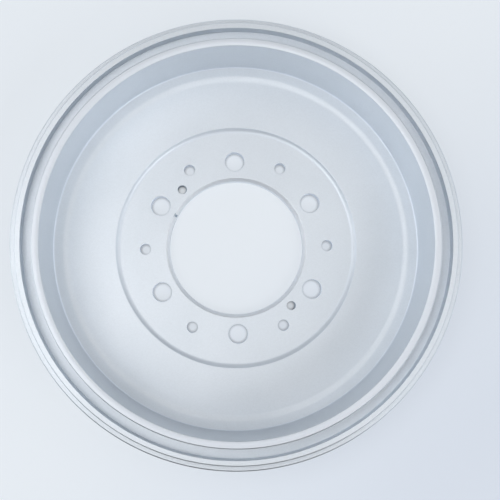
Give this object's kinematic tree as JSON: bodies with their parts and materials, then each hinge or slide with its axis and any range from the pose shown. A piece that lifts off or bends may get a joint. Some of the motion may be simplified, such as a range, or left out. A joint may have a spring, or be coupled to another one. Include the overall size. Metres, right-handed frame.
{
  "type": "brake drum",
  "caption": "Rear brake drum for a light van: silver coated iron cup with a turned friction ring, stepped and grooved rim, central hub bore, wheel stud holes and tapped jacking holes.",
  "frame": {"origin": "middle of the wheel face, on the drum's axis, so the drum stands on its closed end", "axes": "+Z along the axis from the closed end to the mouth, +X through the middle of one small screw hole of the pad"},
  "size_m": [0.3424, 0.3424, 0.084],
  "materials": {
    "silver_coat": "satin silver zinc-flake coat over turned and as-cast grey iron"
  },
  "bodies": {
    "root": {"brake_drum": "silver_coat"}
  },
  "joints": []
}
